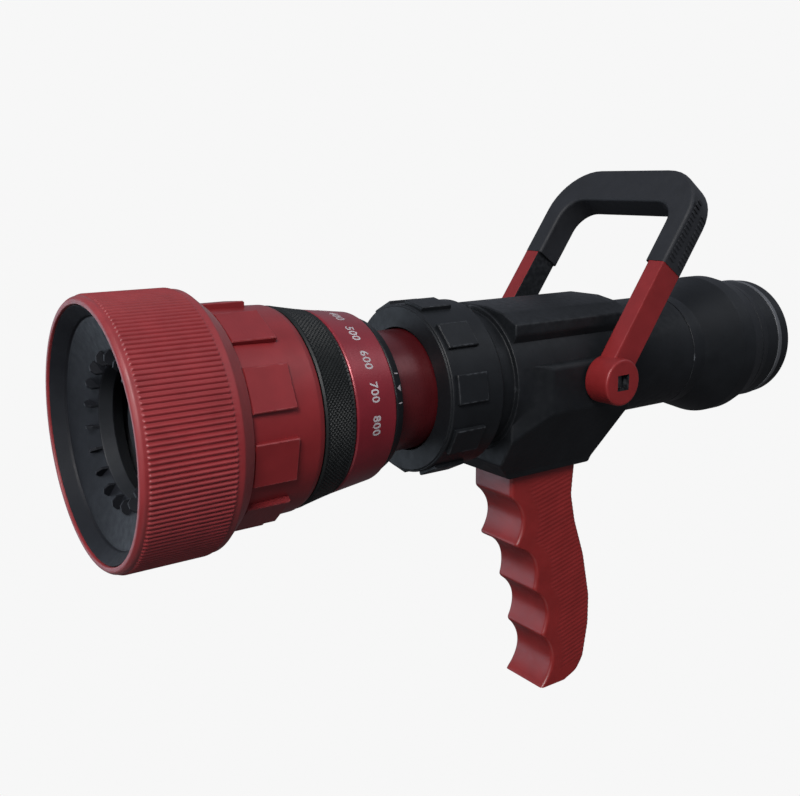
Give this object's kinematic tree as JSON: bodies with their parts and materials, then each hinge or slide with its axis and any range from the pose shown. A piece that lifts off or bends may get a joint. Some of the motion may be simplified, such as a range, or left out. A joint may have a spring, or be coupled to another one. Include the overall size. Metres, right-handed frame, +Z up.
{
  "type": "fire hose nozzle",
  "caption": "Pistol-grip fire hose nozzle with ball shut-off bail, swivel inlet coupling, flow selector ring and rotating stream shaper with rubber bumper.",
  "frame": {"origin": "centre of the hose inlet's rear face, on the bore axis", "axes": "+X along the water's way, from the hose inlet to the muzzle; +Z up, with the pistol grip hanging towards -Z; +Y to the nozzle's left-hand side"},
  "size_m": [0.37, 0.1, 0.2512],
  "materials": {
    "red_metal": "red anodised, satin",
    "crimson_metal": "crimson anodised, satin",
    "black_metal": "black hard anodised, satin",
    "grey_ring": "bare grey, worn",
    "red_rubber": "matt, ribbed",
    "black_rubber": "matt",
    "red_grip": "moulded, ribbed sides",
    "black_plastic": "moulded, satin",
    "seat_white": "smooth",
    "steel": "machined stainless"
  },
  "bodies": {
    "valve": {"valve_body": "black_metal", "inlet_adapter": "black_metal", "swivel_race": "steel", "inlet_screen": "steel", "rear_seat": "seat_white", "front_seat": "seat_white", "seat_carrier": "steel", "carrier_oring": "black_rubber", "stem_oring_left": "black_rubber", "stem_oring_right": "black_rubber", "stem_bush_left": "seat_white", "stem_bush_right": "seat_white", "pistol_grip": "red_grip", "grip_bolt": "steel", "tip_gasket": "black_rubber", "barrel": "red_metal", "guide_key": "steel", "detent_ball": "steel", "index_ring": "black_metal", "stem_spider": "steel"},
    "bail": {"bail_fork": "red_metal", "bail_cover": "black_rubber", "trunnion_left": "steel", "trunnion_right": "steel", "shutoff_ball": "steel"},
    "inlet_coupling": {"inlet_swivel": "black_metal", "wear_ring": "grey_ring", "inlet_gasket": "black_rubber"},
    "collar": {"tip_collar": "black_metal"},
    "flow_selector": {"flow_ring": "crimson_metal", "knurled_band": "black_rubber"},
    "baffle": {"baffle_head": "black_plastic", "baffle_stem": "steel", "baffle_nut": "steel"},
    "pattern_guide": {"guide_ring": "steel"},
    "pattern_sleeve": {"shaper_sleeve": "red_metal", "bumper": "red_rubber", "fog_bowl": "black_plastic", "tooth_ring": "black_plastic", "sleeve_retainer": "steel"}
  },
  "joints": [
    {"name": "shutoff", "type": "hinge", "parent": "valve", "child": "bail", "pos_m": [0.15, 0, 0], "axis": [0, 1, 0], "range_deg": [0, 90]},
    {"name": "inlet_turn", "type": "hinge", "parent": "valve", "child": "inlet_coupling", "pos_m": [0.015, 0, 0], "axis": [1, 0, 0], "continuous": true},
    {"name": "collar_turn", "type": "hinge", "parent": "valve", "child": "collar", "pos_m": [0.22, 0, 0], "axis": [1, 0, 0], "continuous": true},
    {"name": "flow_select", "type": "hinge", "parent": "valve", "child": "flow_selector", "pos_m": [0.275, 0, 0], "axis": [1, 0, 0], "range_deg": [-81.6, 20.4]},
    {"name": "baffle_slide", "type": "slide", "parent": "valve", "child": "baffle", "axis": [1, 0, 0], "range_m": [-0.0025, 0.0007]},
    {"name": "pattern_slide", "type": "slide", "parent": "valve", "child": "pattern_guide", "axis": [1, 0, 0], "range_m": [0, 0.01]},
    {"name": "pattern_turn", "type": "hinge", "parent": "pattern_guide", "child": "pattern_sleeve", "pos_m": [0.305, 0, 0], "axis": [1, 0, 0], "range_deg": [0, 170]}
  ],
  "couplings": [
    {"joint": "baffle_slide", "follows": "flow_select", "m_per_rad": 0.0017},
    {"joint": "pattern_slide", "follows": "pattern_turn", "m_per_rad": 0.00336}
  ]
}
